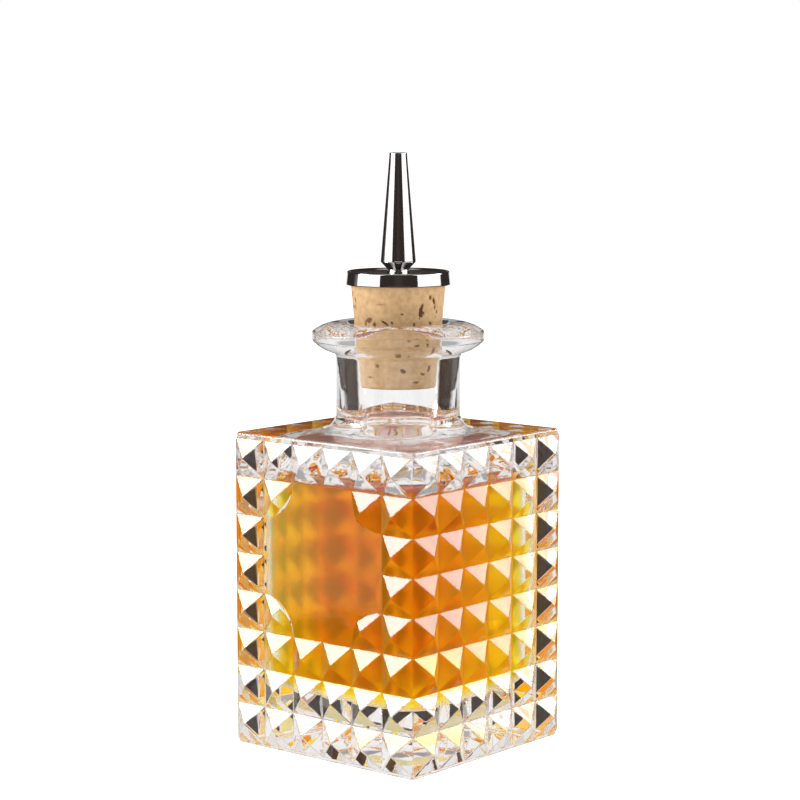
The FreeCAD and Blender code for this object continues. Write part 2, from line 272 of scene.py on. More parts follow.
glass = new_box("pressed_glass", (-HALF, -HALF, FOOT_RIM), (HALF, HALF, POINTS_TOP))
bpy.ops.object.mode_set(mode="EDIT")
cuts = [((i * PITCH - HALF, 0, 0), (1, 0, 0)) for i in range(1, COLUMNS)]
cuts += [((0, i * PITCH - HALF, 0), (0, 1, 0)) for i in range(1, COLUMNS)]
cuts += [((0, 0, FOOT_RIM + i * PITCH), (0, 0, 1)) for i in range(1, ROWS)]
for spot, normal in cuts:
    bpy.ops.mesh.select_all(action="SELECT")
    bpy.ops.mesh.bisect(plane_co=spot, plane_no=normal)
select_in_edit(glass, faces=lambda face: abs(face.normal.z) < LEVEL_FACE)
bpy.ops.mesh.poke(offset=POINT_DEPTH, use_relative_offset=False, center_mode="MEDIAN")
for side in (1, -1):
    select_in_edit(glass, faces=lambda face: face.normal.z * side > NEARLY_ONE)
    bpy.ops.mesh.dissolve_faces()
    bpy.ops.mesh.inset(thickness=SINK)
    bpy.ops.mesh.extrude_region_move(TRANSFORM_OT_translate={"value": (0, 0, side * SINK)})
select_in_edit(glass, edges=is_ridge)
bpy.ops.mesh.bevel(offset=POINT_ROUND, segments=2, affect="EDGES", profile=0.5)
bpy.ops.object.mode_set(mode="OBJECT")
measure(glass)

# %% [markdown]
# ## The flat panel
# The front has a smooth square in the middle of its points, with a round bite at each corner. A box with
# four quarter rounds taken out of it has that outline. Cutting it away leaves the panel flush with the
# valleys.

# %% Clear the flat panel
PANEL_CELLS = 4
ROWS_UNDER_PANEL = 3
PANEL_OVERRUN = 1 * MM
BITE_CORNERS = 100
panel_half = PANEL_CELLS * PITCH / 2
panel_low = FOOT_RIM + ROWS_UNDER_PANEL * PITCH
panel_high = panel_low + PANEL_CELLS * PITCH
clear = POINT_DEPTH + PANEL_OVERRUN
cutter = new_box("panel_cutter", (-panel_half, -HALF - clear, panel_low), (panel_half, -HALF, panel_high))
for x in (-panel_half, panel_half):
    for z in (panel_low, panel_high):
        deselect_all()
        bpy.ops.mesh.primitive_cylinder_add(
            vertices=BITE_CORNERS,
            radius=PITCH,
            depth=4 * clear,
            location=(x, -HALF, z),
            rotation=(math.pi / 2, 0, 0),
        )
        bite = bpy.context.object
        bpy.ops.object.transform_apply(location=True, rotation=True, scale=True)
        combine(cutter, bite, "DIFFERENCE")
combine(glass, cutter, "DIFFERENCE")
measure(glass)

# %% [markdown]
# ## Rims
# A thin square rim closes the points at the foot and at the shoulder. Each is a rounded box. All of the
# glass is one moulding on the real bottle, so the pieces are joined into one closed skin: light only bends
# rightly where glass has no walls left inside it.

# %% Add the rims
RIM_LAP = 0.06 * MM
FOOT_CORNER = 1.0 * MM
FOOT_ROUND = 0.5 * MM
HEAD_CORNER = 1.5 * MM
HEAD_ROUND = 0.6 * MM
foot_half = HALF + RIM_LAP
foot = new_box("foot_rim", (-foot_half, -foot_half, 0), (foot_half, foot_half, FOOT_RIM + RIM_LAP))
round_edges(foot, is_upright, FOOT_CORNER, 6)
round_edges(foot, at_height(0), FOOT_ROUND, 4)
combine(glass, foot, "UNION")
head_half = HALF + HEAD_STAND
head = new_box("head_rim", (-head_half, -head_half, POINTS_TOP - RIM_LAP), (head_half, head_half, BODY_TOP))
round_edges(head, is_upright, HEAD_CORNER, 6)
round_edges(head, at_height(BODY_TOP), HEAD_ROUND, 5)
combine(glass, head, "UNION")
measure(glass)

# %% [markdown]
# ## Neck and lip
# The neck and lip are round, so their outline is drawn once and spun. It starts inside the body, sweeps out
# of the shoulder in a flare, runs up the neck, bows out under the lip and ends in a low crown. Here the
# sizes are in plain millimetres, which is what the lathe takes.

# %% Spin the neck and lip
NECK_RADIUS = 13.85
FLARE = 4.0
SHOULDER = BODY_TOP / MM
NECK_HEIGHT = 17.2
NECK_TOP = SHOULDER + NECK_HEIGHT
LIP_RADIUS = 19.1
LIP_UNDERSIDE = 2.6
LIP_UNDERSIDE_ROUND = 9.0
LIP_EDGE = 2.2
LIP_CROWN = 2.05
LIP_LOW = NECK_TOP + LIP_UNDERSIDE
LIP_HIGH = LIP_LOW + LIP_EDGE
CROWN = LIP_HIGH + LIP_CROWN
CROWN_RADIUS = 13.5
LIP_ROUND = 0.6
LIP_FILLET = 0.8
FILLET_DROP = 0.56
UNDERSIDE_START_OUT = 0.75
UNDERSIDE_START_UP = 0.28
UNDERSIDE_END_IN = 0.5
UNDERSIDE_END_DOWN = 0.1
UNDERSIDE_START = (NECK_RADIUS + UNDERSIDE_START_OUT, NECK_TOP + UNDERSIDE_START_UP)
UNDERSIDE_END = (LIP_RADIUS - UNDERSIDE_END_IN, LIP_LOW - UNDERSIDE_END_DOWN)
SHOULDER_THICKNESS = 5.5
CEILING = SHOULDER - SHOULDER_THICKNESS


def bow(start, end, radius, steps):
    """Points of an arc between two profile points that bulges to the right of the way along."""
    start, end = Vector(start), Vector(end)
    chord = end - start
    across = Vector((-chord.y, chord.x)).normalized()
    centre = (start + end) / 2 + across * math.sqrt(radius ** 2 - (chord.length / 2) ** 2)
    turn = 2 * math.asin(chord.length / 2 / radius)
    spoke = start - centre
    first = math.atan2(spoke.y, spoke.x)
    points = []
    for i in range(steps + 1):
        way = first + turn * i / steps
        points.append((centre.x + radius * math.cos(way), centre.y + radius * math.sin(way)))
    return points


flare_centre = (NECK_RADIUS + FLARE, SHOULDER + FLARE)
crown_run = LIP_RADIUS - CROWN_RADIUS
crown_round = (crown_run ** 2 + (CROWN - LIP_HIGH) ** 2) / (2 * (CROWN - LIP_HIGH))
edge_rise = math.sqrt((crown_round - LIP_ROUND) ** 2 - (crown_run - LIP_ROUND) ** 2)
edge_turn = math.degrees(math.atan2(edge_rise, crown_run - LIP_ROUND))
lip_edge = arc((LIP_RADIUS - LIP_ROUND, CROWN - crown_round + edge_rise), LIP_ROUND, 0, edge_turn, 6)
neck_profile = [(0, CEILING), (NECK_RADIUS + FLARE, CEILING)]
neck_profile += arc(flare_centre, FLARE, 272, 180, 14)
neck_profile += arc((NECK_RADIUS + LIP_FILLET, NECK_TOP - FILLET_DROP), LIP_FILLET, 180, 102, 8)
neck_profile += bow(UNDERSIDE_START, UNDERSIDE_END, LIP_UNDERSIDE_ROUND, 10)
neck_profile += arc((LIP_RADIUS - LIP_ROUND, LIP_LOW + LIP_ROUND), LIP_ROUND, -42, 0, 5)
neck_profile += lip_edge + bow(lip_edge[-1], (CROWN_RADIUS, CROWN), crown_round, 10)[1:]
neck_profile += [(0, CROWN)]
neck = lathe("neck_and_lip", neck_profile)
measure(neck)
combine(glass, neck, "UNION")
measure(glass)

# %% [markdown]
# ## The hollow
# The inside is a smooth square well with generous rounds, because the glass is pressed against a plunger.
# Its head is domed, in rings that are extruded and drawn in step by step. The same shape, grown a hair,
# serves for the liquid later, so it is made by a function.

# %% Shape the well
WALL = 4.0 * MM
WELL_FLOOR = 13.0 * MM
WELL_CORNER = 8.5 * MM
WELL_FLOOR_ROUND = 4.0 * MM
WELL_HEAD = 57.0 * MM
WELL_DOME = 10.0 * MM
DOME_RINGS = 15
DOME_RING_DEG = 5
well_half = HALF - WALL


def new_well(name, grow):
    """The square well, grown on every side, with its rounded corners and floor and its domed head."""
    reach = well_half + grow
    low = WELL_FLOOR - grow
    well = new_box(name, (-reach, -reach, low), (reach, reach, WELL_HEAD))
    round_edges(well, is_upright, WELL_CORNER + grow, 12)
    round_edges(well, at_height(low), WELL_FLOOR_ROUND + grow, 10)
    bpy.ops.object.mode_set(mode="EDIT")
    select_in_edit(well, faces=lambda face: face.normal.z > NEARLY_ONE)
    height, width = 0, reach
    for ring in range(1, DOME_RINGS + 1):
        lean = math.radians(DOME_RING_DEG * ring)
        next_height = (WELL_DOME + grow) * math.sin(lean)
        next_width = reach - (WELL_DOME + grow) * (1 - math.cos(lean))
        bpy.ops.mesh.extrude_region_move(TRANSFORM_OT_translate={"value": (0, 0, next_height - height)})
        ratio = next_width / width
        bpy.ops.transform.resize(value=(ratio, ratio, 1), center_override=(0, 0, 0))
        height, width = next_height, next_width
    bpy.ops.object.mode_set(mode="OBJECT")
    return well


well = new_well("well", 0)
measure(well)

# %% [markdown]
# ## Throat, bore and mouth
# The well opens through a flared throat, about as round as the flare outside it, into the bore, then into
# the tapered seat of the cork and the rolled mouth. The seat takes its radius from the cork and a clearance,
# so the two cannot run into each other.

# %% Cut the well and the bore
CORK_SINK = 14.05
CORK_FOOT = CROWN - CORK_SINK
CORK_FOOT_RADIUS = 8.475
CORK_HEAD_RADIUS = 10.6
CORK_LENGTH = 24.3
CORK_CLEARANCE = 0.15
SEAT_RUN = 1.0
SEAT_TAPER = (0.2, 0.3)
MOUTH_ROLL = 2.0
MOUTH_STRAIGHT = 5
MOUTH_TAPER = 6
MOUTH_GRIP = 0.06
BORE_RADIUS = 8.4
BORE_FOOT_RADIUS = 8.0
THROAT_FLARE = 4.5
THROAT_LAP = 0.1
OVERRUN = 1


def cork_radius(z):
    """The radius of the tapered cork at a height."""
    return CORK_FOOT_RADIUS + (CORK_HEAD_RADIUS - CORK_FOOT_RADIUS) * (z - CORK_FOOT) / CORK_LENGTH


mouth = CROWN - MOUTH_ROLL
mouth_radius = cork_radius(mouth) + CORK_CLEARANCE
ledge = CORK_FOOT - SEAT_RUN
dome_turn = math.radians(DOME_RINGS * DOME_RING_DEG)
dome_top = (WELL_HEAD + WELL_DOME * math.sin(dome_turn)) / MM
throat = BORE_FOOT_RADIUS + THROAT_FLARE
bore_profile = [(0, dome_top - OVERRUN), (throat, dome_top - OVERRUN)]
bore_profile += arc((throat, dome_top - THROAT_LAP + THROAT_FLARE), THROAT_FLARE, 270, 180, 14)[1:]
bore_profile += [(BORE_RADIUS, ledge - SEAT_TAPER[0])]
bore_profile += [(cork_radius(ledge) + CORK_CLEARANCE, ledge + SEAT_TAPER[1])]
bore_profile += [(cork_radius(mouth - MOUTH_TAPER) + CORK_CLEARANCE, mouth - MOUTH_TAPER)]
bore_profile += [(mouth_radius - MOUTH_GRIP, mouth - MOUTH_STRAIGHT)]
bore_profile += arc((mouth_radius + MOUTH_ROLL, mouth), MOUTH_ROLL, 180, 92, 12)
bore_profile += [(mouth_radius + MOUTH_ROLL, CROWN + OVERRUN), (0, CROWN + OVERRUN)]
bore = lathe("bore", bore_profile)
combine(well, bore, "UNION")
measure(well)
combine(glass, well, "DIFFERENCE")

# %% [markdown]
# ## The dish under the base
# A shallow dish keeps the bottle from rocking on a table that isn't flat. It is the cap of a large ball, so
# its outline is one long arc.

# %% Cut the dish
DISH_RADIUS = 17.0
DISH_DEPTH = 1.2
DISH_REACH = 0.5
DISH_DIP = 0.07
GLASS_CREASE_DEG = 35
dish_round = (DISH_RADIUS ** 2 + DISH_DEPTH ** 2) / (2 * DISH_DEPTH)
dish_edge = DISH_RADIUS + DISH_REACH
dish_profile = [(0, -OVERRUN), (dish_edge, -OVERRUN)]
dish_profile += bow((dish_edge, -DISH_DIP), (0, DISH_DEPTH), dish_round, 14)
combine(glass, lathe("dish", dish_profile), "DIFFERENCE")
smooth(glass, GLASS_CREASE_DEG)
measure(glass)

# %% [markdown]
# ## The bitters
# The liquid fills the well to just below the shoulder. Its skin is pushed a hair into the glass, because a
# film of air between the two would act as a mirror. Where it meets the wall it climbs a little, so the
# top is inset in steps that sink towards the middle.

# %% Fill the well
HEADSPACE = 3.0
LEVEL = (CEILING - HEADSPACE) * MM
OVERLAP = 0.06 * MM
MENISCUS_STEPS = ((0.35, 0.38), (0.5, 0.2), (0.7, 0.09), (0.9, 0.03))
CLIMB = 0.7 * MM
MANY_CORNERS = 20
LIQUID_CREASE_DEG = 40


def is_open_top(face):
    """Test for the one large level face that closes the liquid."""
    return face.normal.z > LEVEL_FACE and len(face.verts) > MANY_CORNERS


liquid = new_well("bitters", OVERLAP)
bpy.ops.object.mode_set(mode="EDIT")
bpy.ops.mesh.select_all(action="SELECT")
bpy.ops.mesh.bisect(
    plane_co=(0, 0, LEVEL + CLIMB), plane_no=(0, 0, 1), clear_outer=True, use_fill=True
)
for width, drop in MENISCUS_STEPS:
    select_in_edit(liquid, faces=is_open_top)
    bpy.ops.mesh.inset(thickness=width * MM, depth=0)
    bpy.ops.transform.translate(value=(0, 0, -drop * MM))
bpy.ops.object.mode_set(mode="OBJECT")
smooth(liquid, LIQUID_CREASE_DEG)
measure(liquid)

# %% [markdown]
# ## The cork
# A straight-sided taper with softened ends and a hole for the stem. It is turned with a fine mesh, because
# small pores are pressed into it in the next step.

# %% Turn the cork
CORK_TOP = CORK_FOOT + CORK_LENGTH
STEM_HOLE = 1.8
FLANGE_SEAT_RADIUS = 3.5
FLANGE_SEAT_DEPTH = 0.8
FLANGE_SEAT = CORK_FOOT + FLANGE_SEAT_DEPTH
CORK_EDGE = 0.4
EDGE_STEP = 0.12
CORK_RINGS = 120
CORK_TURNS = 320
climb = [CORK_EDGE + (CORK_LENGTH - 2 * CORK_EDGE) * i / CORK_RINGS for i in range(CORK_RINGS + 1)]
cork_profile = [(STEM_HOLE, CORK_TOP), (STEM_HOLE, FLANGE_SEAT)]
cork_profile += [(FLANGE_SEAT_RADIUS, FLANGE_SEAT), (FLANGE_SEAT_RADIUS, CORK_FOOT)]
cork_profile += [(CORK_FOOT_RADIUS - CORK_EDGE, CORK_FOOT)]
cork_profile += [(CORK_FOOT_RADIUS - EDGE_STEP, CORK_FOOT + EDGE_STEP)]
cork_profile += [(cork_radius(CORK_FOOT + up), CORK_FOOT + up) for up in climb]
cork_profile += [(CORK_HEAD_RADIUS - EDGE_STEP, CORK_TOP - EDGE_STEP)]
cork_profile += [(CORK_HEAD_RADIUS - CORK_EDGE, CORK_TOP)]
cork = lathe("tapered_cork", cork_profile, CORK_TURNS)
measure(cork)

# %% [markdown]
# ## Pits in the bark
# Cork is cut from bark, and the cut opens small ragged pores, most of them brown inside. The larger ones are
# placed one by one: the bearing in degrees from the camera's side, the height above the foot, the width, the
# height, the tilt and how dark they are. The rest are scattered with a fixed seed. Each pore is pressed into
# the mesh, and its depth is kept on the points so that the finish can darken it.

# %% Press the pores
PORES = (
    (30.0, 17.0, 0.42, 1.35, -6, 1.0), (33.5, 16.6, 0.25, 0.4, 30, 0.7), (43.0, 20.0, 0.3, 0.4, 0, 0.9),
    (50.0, 19.1, 0.28, 0.75, 25, 0.9), (53.0, 17.6, 0.25, 0.45, 10, 0.7), (58.0, 16.7, 0.25, 0.4, 10, 0.5),
    (4.5, 16.5, 0.34, 0.2, 0, 0.8), (-41.0, 15.0, 0.75, 0.5, 15, 0.6), (-32.0, 14.2, 0.35, 0.45, -20, 0.7),
    (-47.0, 14.0, 0.28, 0.6, 0, 0.5), (-17.5, 14.6, 0.75, 0.2, -32, 0.9), (-8.0, 14.6, 0.2, 0.32, 10, 0.8),
    (-25.0, 13.5, 0.8, 0.22, 5, 0.4), (20.5, 14.2, 0.3, 0.6, 25, 0.5), (46.0, 14.3, 0.45, 0.3, -20, 0.7),
    (42.0, 12.0, 0.24, 0.85, -10, 1.0), (61.0, 12.9, 0.25, 0.4, 0, 0.6), (34.0, 11.2, 0.28, 0.4, -20, 0.5),
    (12.5, 11.2, 0.26, 0.36, -25, 0.8), (0.0, 11.4, 0.5, 0.2, 5, 0.8), (-47.5, 12.0, 0.4, 0.22, 10, 0.7),
    (22.0, 9.8, 0.4, 0.2, 0, 0.8), (34.5, 10.0, 0.25, 0.3, 0, 0.6), (68.0, 10.1, 0.3, 0.8, 0, 0.6),
    (-68.0, 19.2, 0.35, 0.6, 10, 0.6), (-70.0, 17.6, 0.3, 0.7, 0, 0.5), (-22.0, 18.6, 0.8, 0.18, 0, 0.35),
    (6.0, 4.1, 0.5, 0.35, -30, 0.9), (-27.0, 5.2, 0.4, 0.3, 0, 0.6), (32.0, 3.4, 0.4, 0.25, -10, 0.7),
    (24.0, 1.6, 0.5, 0.2, 0, 0.7), (41.0, 4.6, 0.25, 0.6, -20, 0.7), (-38.0, 2.6, 0.6, 0.2, 0, 0.5),
)
SCATTERED = 70
SCATTER_SEED = 7
SCATTER_WIDTHS = (0.2, 0.45)
SCATTER_BEARINGS = (75, 285)
SCATTER_HEIGHTS = (0.8, CORK_LENGTH - 3)
SCATTER_STRETCH = (0.6, 2.4)
SCATTER_TILTS = (-40, 40)
SCATTER_DARKNESS = (0.4, 1.0)
PORE_DEPTH = 0.22
PORE_REACH = 3
PORE_SIZE = 1.35
PORE_EDGE = 0.55
SKIN = 0.3
COARSE_RAG = (0.75, 2.1)
FINE_RAG = (0.35, 5.3)
CORK_CREASE_DEG = 40
chance = random.Random(SCATTER_SEED)
pores = list(PORES)
for i in range(SCATTERED):
    width = chance.uniform(*SCATTER_WIDTHS)
    bearing = chance.uniform(*SCATTER_BEARINGS)
    up = chance.uniform(*SCATTER_HEIGHTS)
    height = width * chance.uniform(*SCATTER_STRETCH)
    tilt = chance.uniform(*SCATTER_TILTS)
    dark = chance.uniform(*SCATTER_DARKNESS)
    pores.append((bearing, up, width, height, tilt, dark))
camera_side = CAMERA_BEARING - math.pi / 2
depth_map = cork.data.attributes.new("pore", "FLOAT", "POINT")
for index, vertex in enumerate(cork.data.vertices):
    spot = vertex.co / MM
    radius = math.hypot(spot.x, spot.y)
    if radius < cork_radius(spot.z) - SKIN:
        continue
    way = math.degrees(math.atan2(spot.y, spot.x) - camera_side)
    ragged = sum(share * noise.noise(spot * scale) for share, scale in (COARSE_RAG, FINE_RAG))
    deepest = 0
    for bearing, up, width, height, tilt, dark in pores:
        dv = spot.z - CORK_FOOT - up
        if abs(dv) > PORE_REACH:
            continue
        du = math.radians((way - bearing + 180) % 360 - 180) * radius
        if abs(du) > PORE_REACH:
            continue
        lean = math.radians(tilt)
        across = (du * math.cos(lean) + dv * math.sin(lean)) / width
        along = (dv * math.cos(lean) - du * math.sin(lean)) / height
        edge = PORE_SIZE - math.hypot(across, along) + ragged
        deepest = max(deepest, dark * min(1, max(0, edge / PORE_EDGE)))
    depth_map.data[index].value = deepest
    push = 1 - deepest * PORE_DEPTH / radius
    vertex.co.x *= push
    vertex.co.y *= push
smooth(cork, CORK_CREASE_DEG)
print(len(pores), "pores")
measure(cork)

# %% [markdown]
# ## The cap
# The cap is a shallow spun cup with a raised bead round its top. It is mirror-bright, so every edge needs a
# real round to catch the light. Its outline goes out along the underside, down inside the skirt, round the
# foot and back over the bead.

# %% Spin the cap
CAP_SEAT = 0.1
CAP_PLATE = 0.6
CAP_SKIRT = 2.1
CAP_UNDER = CORK_TOP + CAP_SEAT
CAP_TOP = CAP_UNDER + CAP_PLATE
CAP_FOOT = CAP_UNDER - CAP_SKIRT
CAP_FOOT_RADIUS = 11.6
CAP_HEAD_RADIUS = 11.35
CAP_INSIDE = 10.9
CAP_INSIDE_ROUND = 0.2
CAP_FOOT_EASE = 0.1
CAP_FOOT_ROUND = 0.3
BEAD_ROUND = 0.35
BEAD_SINK = 0.05
BEAD_TAIL = (1.1, 0.02)
BEAD_END = 1.6
CAP_TURNS = 160
STEM_FIT = 1.75
METAL_CREASE_DEG = 30
cap_profile = [(STEM_FIT, CAP_UNDER), (CAP_INSIDE - CAP_INSIDE_ROUND, CAP_UNDER)]
cap_profile += [(CAP_INSIDE, CAP_UNDER - CAP_INSIDE_ROUND), (CAP_INSIDE, CAP_FOOT + CAP_FOOT_EASE)]
cap_profile += [(CAP_INSIDE + CAP_FOOT_EASE, CAP_FOOT)]
foot_round_centre = (CAP_FOOT_RADIUS - CAP_FOOT_ROUND, CAP_FOOT + CAP_FOOT_ROUND)
cap_profile += arc(foot_round_centre, CAP_FOOT_ROUND, 270, 360, 6)
cap_profile += arc((CAP_HEAD_RADIUS - BEAD_ROUND, CAP_TOP - BEAD_SINK), BEAD_ROUND, 5, 150, 10)
cap_profile += [(CAP_HEAD_RADIUS - BEAD_TAIL[0], CAP_TOP + BEAD_TAIL[1])]
cap_profile += [(CAP_HEAD_RADIUS - BEAD_END, CAP_TOP), (STEM_FIT, CAP_TOP)]
cap = lathe("spun_cap", cap_profile, CAP_TURNS)
smooth(cap, METAL_CREASE_DEG)
measure(cap)

# %% [markdown]
# ## The spout
# The spout is a hollow cone on a short neck, with a sharp flare just above the cap and a narrow band at its
# widest. The outline runs up the outside to the rolled tip, and down inside through the orifice.

# %% Spin the spout
SPOUT_NECK = 0.5
SPOUT_FLARE = 1.8
SPOUT_BAND = 0.4
SPOUT_LENGTH = 23.5
NECK_END = CAP_TOP + SPOUT_NECK
BELLY = NECK_END + SPOUT_FLARE
BAND = BELLY + SPOUT_BAND
TIP = BAND + SPOUT_LENGTH
SPOUT_FOOT_RADIUS = 2.45
SPOUT_NECK_RADIUS = 2.3
SPOUT_NECK_ROUND = 0.35
BELLY_RADIUS = 3.93
BELLY_EASE = 0.12
BAND_EASE = 0.1
CONE_FOOT_RADIUS = 3.9
CONE_LIFT = 0.05
CONE_STOP = 0.3
CONE_FOOT = BAND + CONE_LIFT
CONE_RISE = TIP - CONE_STOP - BAND
CONE_RINGS = 12
TIP_RADIUS = 1.95
TIP_EASE = 0.25
TIP_ROUND = 0.2
ORIFICE_RADIUS = 1.25
ORIFICE_LAND = 2
HOLLOW_RADIUS = 3.3
HOLLOW_FOOT_RADIUS = 3.0
STEM_SOCKET = 1.65
SPOUT_HOLLOW = [(HOLLOW_RADIUS, BAND), (HOLLOW_FOOT_RADIUS, BELLY), (STEM_FIT, CAP_TOP + STEM_SOCKET)]
SPOUT_TURNS = 96
spout_profile = [(STEM_FIT, CAP_TOP), (SPOUT_FOOT_RADIUS, CAP_TOP)]
spout_profile += arc((SPOUT_NECK_RADIUS + SPOUT_NECK_ROUND, NECK_END), SPOUT_NECK_ROUND, 235, 150, 5)
spout_profile += [(CONE_FOOT_RADIUS - BELLY_EASE, BELLY - BELLY_EASE), (CONE_FOOT_RADIUS, BELLY)]
spout_profile += [(BELLY_RADIUS, BELLY + BELLY_EASE), (BELLY_RADIUS, BAND - BAND_EASE)]
for i in range(CONE_RINGS):
    share = i / CONE_RINGS
    cone_radius = CONE_FOOT_RADIUS + (TIP_RADIUS - CONE_FOOT_RADIUS) * share
    spout_profile.append((cone_radius, CONE_FOOT + CONE_RISE * share))
spout_profile += [(TIP_RADIUS, TIP - TIP_EASE)]
spout_profile += arc((TIP_RADIUS - TIP_ROUND, TIP - TIP_ROUND), TIP_ROUND, 0, 90, 5)
spout_profile += arc((ORIFICE_RADIUS + TIP_ROUND, TIP - TIP_ROUND), TIP_ROUND, 90, 180, 5)
spout_profile += [(ORIFICE_RADIUS, TIP - ORIFICE_LAND)] + SPOUT_HOLLOW
spout = lathe("tapered_spout", spout_profile, SPOUT_TURNS)
smooth(spout, METAL_CREASE_DEG)
measure(spout)

# %% [markdown]
# ## Finishes
# Each material is built from nodes on Object coordinates, so its pattern stays on the piece from any side.
# The helpers make a new material, add a node with its values, feed noise from Object coordinates and turn a
# pattern into bump.


# %% Helpers for materials
def new_finish(name):
    """A new material on nodes, with its nodes and its links."""
    finish = bpy.data.materials.new(name)
    finish.use_nodes = True
    return finish, finish.node_tree.nodes, finish.node_tree.links


def add_node(nodes, kind, **values):
    """A node with its properties and, by socket name, its input values set."""
    node = nodes.new(kind)
    for key, value in values.items():
        if hasattr(node, key):
            setattr(node, key, value)
        else:
            node.inputs[key.replace("_", " ")].default_value = value
    return node


def object_noise(nodes, links, scale, detail=3.0, roughness=0.5):
    """Noise that stays on the piece, because it reads Object coordinates."""
    spot = nodes.new("ShaderNodeTexCoord")
    cloud = add_node(nodes, "ShaderNodeTexNoise", Scale=scale, Detail=detail, Roughness=roughness)
    links.new(spot.outputs["Object"], cloud.inputs["Vector"])
    return cloud


def add_bump(nodes, links, height, strength, distance):
    """Let a pattern tilt the shading of the skin."""
    bump = add_node(nodes, "ShaderNodeBump", Strength=strength, Distance=distance)
    links.new(height, bump.inputs["Height"])
    links.new(bump.outputs["Normal"], nodes["Principled BSDF"].inputs["Normal"])


def wear(piece, finish):
    """Give a piece one finish all over."""
    piece.data.materials.clear()
    piece.data.materials.append(finish)


# %% [markdown]
# ## Clear glass
# Clear glass bends light by its index, and a slight ripple in its skin keeps it from looking like plastic.
# It casts no shadow of its own, so that the lamps reach the cork inside the neck as they do through real
# glass.

# %% Clear glass
GLASS_INDEX = 1.52
BITTERS_INDEX = 1.36
clear_glass, nodes, links = new_finish("clear_pressed_glass")
skin = nodes["Principled BSDF"]
skin.inputs["Base Color"].default_value = (1.0, 1.0, 1.0, 1)
skin.inputs["Roughness"].default_value = 0.0
skin.inputs["IOR"].default_value = GLASS_INDEX
skin.inputs["Transmission Weight"].default_value = 1.0
ripple = object_noise(nodes, links, scale=260.0)
add_bump(nodes, links, ripple.outputs["Fac"], strength=0.05, distance=0.4 * MM)
wear(glass, clear_glass)
glass.visible_shadow = False
print(clear_glass.name, "with index", GLASS_INDEX)

# %% [markdown]
# ## The wet wall
# Where the bitters touch the glass, light passes from glass to liquid and not to air, so it bends far less:
# the wall of the well gets the ratio of the two indices. It is a little rough, which blurs the points of the
# far side as cloudy bitters do.

# %% Wet wall of the well
wet_glass = clear_glass.copy()
wet_glass.name = "wet_pressed_glass"
wet_skin = wet_glass.node_tree.nodes["Principled BSDF"]
wet_skin.inputs["IOR"].default_value = GLASS_INDEX / BITTERS_INDEX
wet_skin.inputs["Roughness"].default_value = 0.4
glass.data.materials.append(wet_glass)
NEAR = 0.1 * MM
WET_SLOT = 1
wet = 0
for face in glass.data.polygons:
    spot = face.center
    inside = max(abs(spot.x), abs(spot.y)) < well_half + NEAR and spot.z > WELL_FLOOR - NEAR
    if inside and spot.z < LEVEL:
        face.material_index = WET_SLOT
        wet += 1
print(wet, "wet faces")

# %% [markdown]
# ## The uneven head
# Above the liquid the plunger left the head of the well uneven, and that unevenness draws the swirls in the
# top row of points. A copy of the clear glass with broad, strong bump gives it, on those faces alone.

# %% Uneven head of the well
uneven_glass = clear_glass.copy()
uneven_glass.name = "uneven_pressed_glass"
wave = uneven_glass.node_tree.nodes
wave["Noise Texture"].inputs["Scale"].default_value = 130.0
wave["Noise Texture"].inputs["Detail"].default_value = 1.0
wave["Bump"].inputs["Strength"].default_value = 1.0
wave["Bump"].inputs["Distance"].default_value = 2.2 * MM
glass.data.materials.append(uneven_glass)
FACING_DOWN = 0.2
UNEVEN_SLOT = 2
uneven = 0
for face in glass.data.polygons:
    spot = face.center
    inside = max(abs(spot.x), abs(spot.y)) < well_half + NEAR and face.normal.z < FACING_DOWN
    if inside and LEVEL <= spot.z < dome_top * MM + NEAR:
        face.material_index = UNEVEN_SLOT
        uneven += 1
print(uneven, "uneven faces")

# %% [markdown]
# ## The bitters' colour
# The liquid takes its amber from absorption inside it, deeper where there is more of it to look through. Its
# sides bend no light, because the wet wall already does that. Only its open top meets air, so the top faces
# get the index of the liquid and a strong, clean reflection, which keeps the shoulder pale.

# %% Amber bitters
amber, nodes, links = new_finish("amber_bitters")
skin = nodes["Principled BSDF"]
skin.inputs["Base Color"].default_value = (1.0, 1.0, 1.0, 1)
skin.inputs["Roughness"].default_value = 0.0
skin.inputs["IOR"].default_value = 1.0
skin.inputs["Transmission Weight"].default_value = 1.0
depth = add_node(nodes, "ShaderNodeVolumeAbsorption")
depth.inputs["Color"].default_value = (0.9925, 0.93, 0.0, 1)
depth.inputs["Density"].default_value = 400.0
links.new(depth.outputs["Volume"], nodes["Material Output"].inputs["Volume"])
wear(liquid, amber)
still_top = amber.copy()
still_top.name = "amber_bitters_top"
top_skin = still_top.node_tree.nodes["Principled BSDF"]
top_skin.inputs["IOR"].default_value = BITTERS_INDEX
top_skin.inputs["Roughness"].default_value = 0.02
top_skin.inputs["Specular IOR Level"].default_value = 1.0
top_skin.inputs["Coat Weight"].default_value = 1.0
top_skin.inputs["Coat IOR"].default_value = 2.2
liquid.data.materials.append(still_top)
FACING_UP = 0.3
TOP_REACH = 1 * MM
TOP_SLOT = 1
for face in liquid.data.polygons:
    if face.normal.z > FACING_UP and face.center.z > LEVEL - TOP_REACH:
        face.material_index = TOP_SLOT
print(amber.name, "with index", BITTERS_INDEX, "at its top")

# %% [markdown]
# ## The cork's colour
# The ground of the cork is fine noise between two tans. The pores go from a rusty edge to a dark brown
# middle, by the depth that was kept on the mesh, and a little bump gives the cut bark its tooth.

